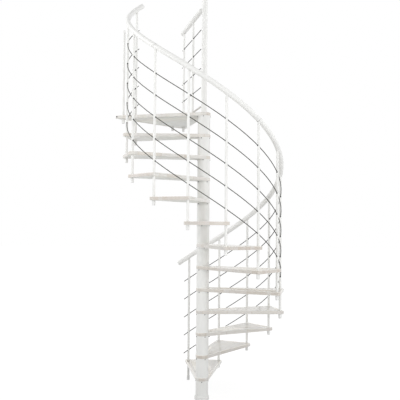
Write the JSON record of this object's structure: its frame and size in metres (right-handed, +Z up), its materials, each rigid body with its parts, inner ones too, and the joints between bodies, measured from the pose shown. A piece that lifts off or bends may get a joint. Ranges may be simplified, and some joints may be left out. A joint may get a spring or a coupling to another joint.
{
  "type": "spiral staircase",
  "caption": "Spiral stair with wedge treads on a central column, helical handrail, guard rods through slim balusters and a wedge landing with its own railing.",
  "frame": {"origin": "on the column's axis, on the underside of the foot collar at floor level", "axes": "+Z up along the column, the first tread points along +Y, the stair climbs clockwise seen from above"},
  "size_m": [1.7304, 1.6568, 4.1074],
  "materials": {
    "column_paint": "satin white powder coat",
    "tread_wood": "whitewashed finger-jointed wood, matt lacquer",
    "baluster_paint": "satin white powder coat",
    "bar_paint": "satin light grey powder coat",
    "cap_plastic": "matt white moulding",
    "support_plastic": "matt light grey moulding",
    "rail_paint": "smooth satin white cover",
    "rod_steel": "dark drawn steel rod"
  },
  "bodies": {
    "root": {"base_collar": "column_paint", "column_spacers": "column_paint", "centre_pole": "column_paint", "tread_01": "tread_wood", "tread_02": "tread_wood", "tread_03": "tread_wood", "tread_04": "tread_wood", "tread_05": "tread_wood", "tread_06": "tread_wood", "tread_07": "tread_wood", "tread_08": "tread_wood", "tread_09": "tread_wood", "tread_10": "tread_wood", "tread_11": "tread_wood", "tread_12": "tread_wood", "landing": "tread_wood", "landing_socket": "cap_plastic", "stair_balusters": "baluster_paint", "landing_balusters": "baluster_paint", "corner_post": "baluster_paint", "baluster_caps": "cap_plastic", "rail_supports": "support_plastic", "handrail_1": "rail_paint", "handrail_2": "rail_paint", "handrail_3": "rail_paint", "handrail_4": "rail_paint", "rod_row_1": "rod_steel", "rod_row_2": "rod_steel", "rod_row_3": "rod_steel", "rod_row_4": "rod_steel", "rod_row_5": "rod_steel", "landing_rail": "rail_paint", "landing_rods": "rod_steel", "landing_lower_bar": "bar_paint"}
  },
  "joints": []
}
